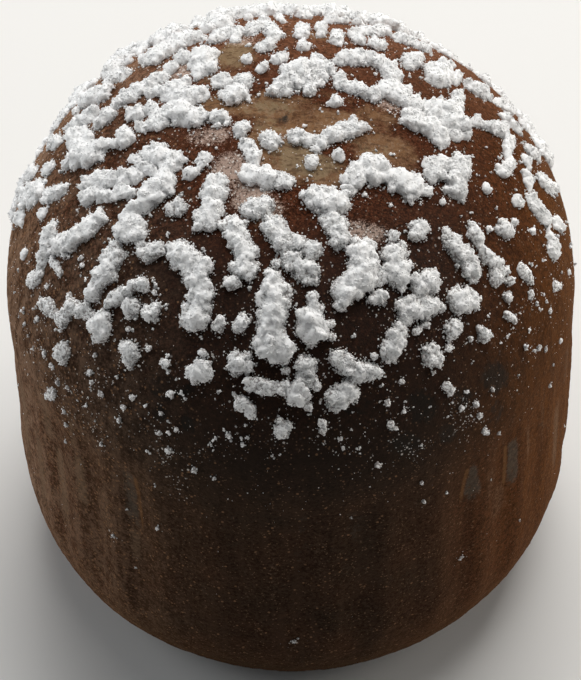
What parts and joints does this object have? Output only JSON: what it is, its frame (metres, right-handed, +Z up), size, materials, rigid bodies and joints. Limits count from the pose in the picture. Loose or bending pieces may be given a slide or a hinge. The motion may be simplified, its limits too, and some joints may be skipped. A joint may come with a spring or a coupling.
{
  "type": "chocolate truffle",
  "caption": "Tall domed dark chocolate truffle, dusted with cocoa, its crown flecked with clumps of icing sugar and its wall marked by the pleats of a paper case.",
  "frame": {"origin": "middle of the flat foot that the truffle rests on", "axes": "+Z up along the truffle's upright axis, -Y towards its front"},
  "size_m": [0.0284, 0.0284, 0.0285],
  "materials": {
    "cocoa_chocolate": "dark chocolate under a matt dusting of cocoa, rubbed to a low gloss on the crown and in the pleat dents",
    "icing_sugar": "matt white powder in clumps and specks"
  },
  "bodies": {
    "root": {"truffle": "cocoa_chocolate"}
  },
  "joints": []
}
